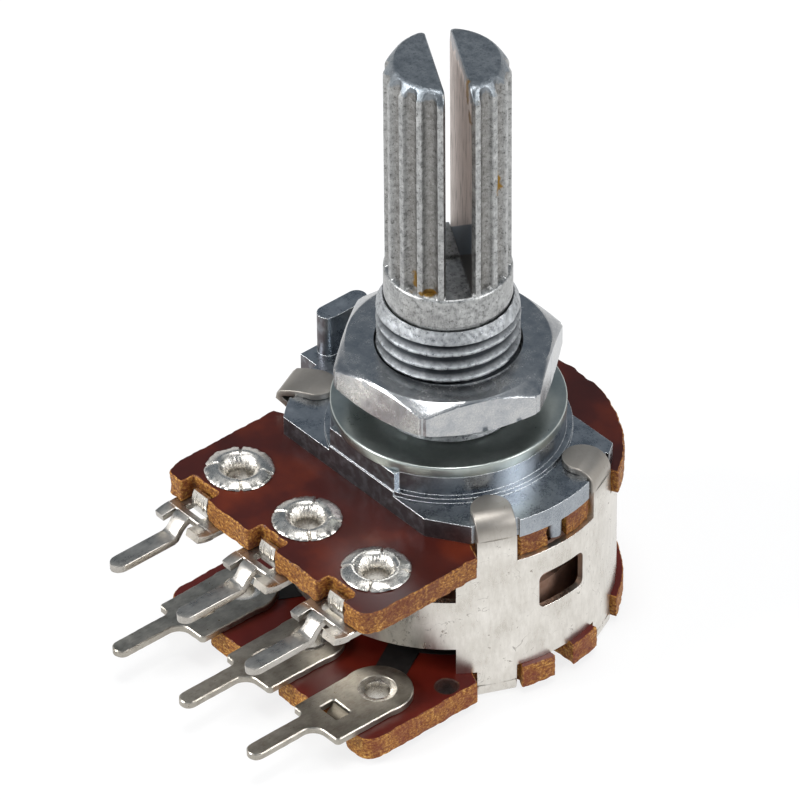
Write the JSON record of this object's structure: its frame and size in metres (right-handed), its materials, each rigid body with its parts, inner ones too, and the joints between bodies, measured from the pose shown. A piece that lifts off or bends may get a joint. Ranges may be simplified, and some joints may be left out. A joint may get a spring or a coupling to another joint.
{
  "type": "dual gang potentiometer",
  "caption": "Rotary potentiometer of two stacked gangs with a slotted, knurled shaft, a threaded panel bushing with nut and washer, and two rows of solder terminals.",
  "frame": {"origin": "on the shaft's axis, in the face of the round boss that the panel sits against", "axes": "+Z along the shaft's axis towards its slotted end, -Y towards the tips of the solder pins, X along the row of pins"},
  "size_m": [0.0173, 0.0249, 0.032],
  "materials": {
    "casting": "zinc die casting, as cast",
    "shaft": "zinc die casting, as cast",
    "washer": "plated steel",
    "nut": "nickel plated steel",
    "clip": "spring steel",
    "shell": "tin plated steel strip",
    "terminal": "tinned brass",
    "wafer": "phenolic paper laminate",
    "track": "printed carbon film",
    "collector": "printed silver film",
    "rotor": "moulded plastic",
    "wiper": "phosphor bronze strip"
  },
  "bodies": {
    "housing": {"bushing_plate": "casting", "mounting_washer": "washer", "hex_nut": "nut", "front_wafer": "wafer", "rear_wafer": "wafer", "front_terminal_a": "terminal", "front_terminal_b": "terminal", "front_terminal_c": "terminal", "rear_terminal_a": "terminal", "rear_terminal_b": "terminal", "rear_terminal_c": "terminal", "shell": "shell", "front_track": "track", "rear_track": "track", "front_collector": "collector", "rear_collector": "collector"},
    "rotor": {"shaft": "shaft", "retaining_clip": "clip", "front_rotor": "rotor", "rear_rotor": "rotor", "front_wiper": "wiper", "rear_wiper": "wiper"}
  },
  "joints": [
    {"name": "shaft_turn", "type": "hinge", "parent": "housing", "child": "rotor", "pos_m": [0, 0, 0], "axis": [0, 0, 1], "range_deg": [-300, 0]}
  ]
}
